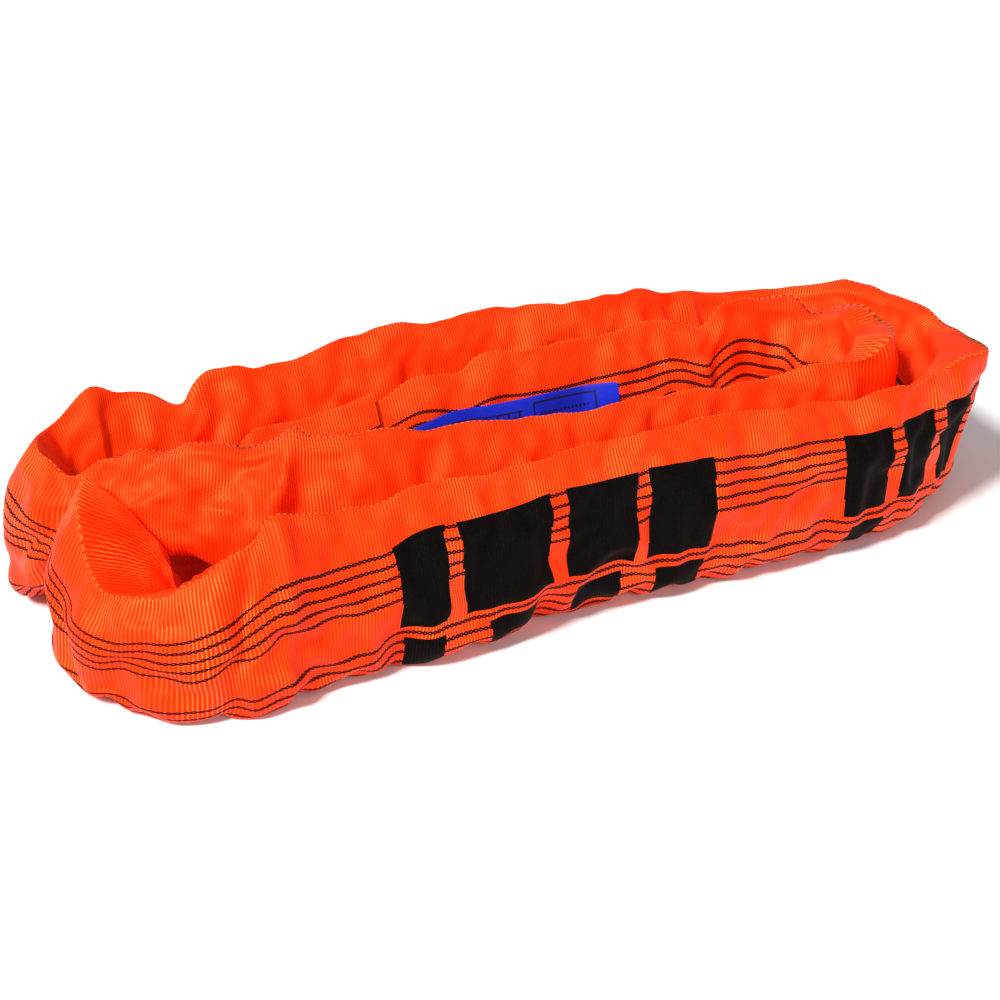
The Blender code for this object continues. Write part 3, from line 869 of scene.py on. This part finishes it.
def make_core():
    """Six yarn hanks and three tape ties inside the sleeve."""
    yarn = plain_weave("core_yarn", (0.55, 0.52, 0.46), (0.86, 0.84, 0.78), 1.2)
    tape = plain_weave("tie_tape", (0.42, 0.36, 0.22), (0.74, 0.66, 0.44), 0.9)
    s = np.linspace(0, TOTAL, 321)[:-1, None]
    for number in range(6):
        level, side = divmod(number, 2)
        turn_round = np.arange(10)[None, :] * math.pi / 5
        n = (2 * side - 1) * HANK_SPREAD + HANK_RADIUS * np.cos(turn_round)
        up = HANK_FLOOR + level * HANK_RISE + HANK_RADIUS * np.sin(turn_round)
        hank = closed_loft(f"core_bundle_{number + 1}", core_place(*np.broadcast_arrays(s, n, up)), yarn)
        ride_for(hank, "sling", f"core_hank_{number + 1}")
    for number, y in ((1, FRONT_OUTER), (2, FRONT_INNER), (3, BACK_OUTER)):
        middle = length_at(0, y)
        rings = []
        for along, offset in ((-1, 0.2), (1, 0.2), (1, 0.8), (-1, 0.8)):
            wide, low = HANK_SPREAD + HANK_RADIUS + offset, HANK_FLOOR - HANK_RADIUS - offset
            high = HANK_FLOOR + 2 * HANK_RISE + HANK_RADIUS + offset
            in_wide, in_low, in_high = wide - TIE_CORNER, low + TIE_CORNER, high - TIE_CORNER
            outline = np.array([(-in_wide, low), (in_wide, low), (wide, in_low), (wide, in_high),
                                (in_wide, high), (-in_wide, high), (-wide, in_high), (-wide, in_low)])
            here = np.full(len(outline), middle + along * TIE_LENGTH / 2)
            rings.append(core_place(here, *outline.T))
        tie = closed_loft(f"core_tape_{number}", np.array(rings), tape)
        tie.data.shade_flat()
        ride_for(tie, "sling", f"core_tie_{number}")


def make_seams(s, q, grid):
    """Two zigzag rows through the overlap of the sleeve's ends, lying on the cloth."""
    out = normals_of(grid)
    material = thread_material("sleeve_thread", (0.60, 0.05, 0.004), (1.0, 0.20, 0.02))
    for number, place in ((1, 6.0), (2, LAP - 6.0)):
        points = []
        for k, cloth in enumerate(np.arange(-78, 78.1, 2.2)):
            i = int(np.argmin(np.abs(s[:, 0] - (TOTAL + place))))
            side = 1.4 if k % 2 else -1.4
            j = (cloth + HALF_CLOTH) / (2 * HALF_CLOTH) * RING
            here = lerp_row(grid[i] + out[i] * 0.5, j)
            ahead = lerp_row(grid[i + 1] + out[i + 1] * 0.5, j)
            points.append(here + (ahead - here) / np.linalg.norm(ahead - here) * side)
        seam = tube(f"seam_thread_{number}", np.array(points), 0.38, material)
        ride_for(seam, "sling", f"seam_row_{number}")


# ---------------------------------------------------------------- camera, floor and light

def stage():
    azimuth, elevation, distance = math.radians(25), math.radians(28), 0.95
    target = Vector((-0.0257, -0.028, 0.042))
    forward = Vector((math.sin(azimuth) * math.cos(elevation), math.cos(azimuth) * math.cos(elevation),
                      -math.sin(elevation)))
    data = bpy.data.cameras.new("camera")
    data.lens = 70.2
    data.sensor_width = 36.0
    camera = link(bpy.data.objects.new("camera", data))
    camera.location = target - forward * distance
    camera.rotation_euler = forward.to_track_quat("-Z", "Y").to_euler()
    bpy.context.scene.camera = camera

    bm = bmesh.new()
    bmesh.ops.create_grid(bm, x_segments=1, y_segments=1, size=4.0)
    mesh = bpy.data.meshes.new("floor")
    bm.to_mesh(mesh)
    bm.free()
    floor = link(bpy.data.objects.new("floor", mesh))
    white = Nodes("floor_white")
    tone = white.mix(white.noise(3.0), (0.92, 0.92, 0.92, 1), (0.95, 0.95, 0.95, 1))
    white.set(white.shader.inputs["Base Color"], tone)
    white.shader.inputs["Roughness"].default_value = 0.9
    mesh.materials.append(white.material)

    world = bpy.data.worlds.new("studio")
    world.use_nodes = True
    world.node_tree.nodes["Background"].inputs["Color"].default_value = (1, 1, 1, 1)
    world.node_tree.nodes["Background"].inputs["Strength"].default_value = 0.33
    bpy.context.scene.world = world
    sun("key", (-0.95, -0.42, 1.15), 4.2, 12.0)
    area_light("fill", (-0.1, -1.6, 0.7), 7.0, 0.8)
    bpy.context.scene.view_settings.view_transform = "Standard"


def sun(name, place, strength, angle):
    data = bpy.data.lights.new(name, "SUN")
    data.energy = strength
    data.angle = math.radians(angle)
    light = link(bpy.data.objects.new(name, data))
    light.location = place
    light.rotation_euler = (-Vector(place)).to_track_quat("-Z", "Y").to_euler()


def area_light(name, place, power, size):
    data = bpy.data.lights.new(name, "AREA")
    data.energy = power
    data.size = size
    light = link(bpy.data.objects.new(name, data))
    light.location = place
    light.rotation_euler = (Vector((0, 0, 0.04)) - Vector(place)).to_track_quat("-Z", "Y").to_euler()


make_sleeve()
make_label()
make_core()
stage()
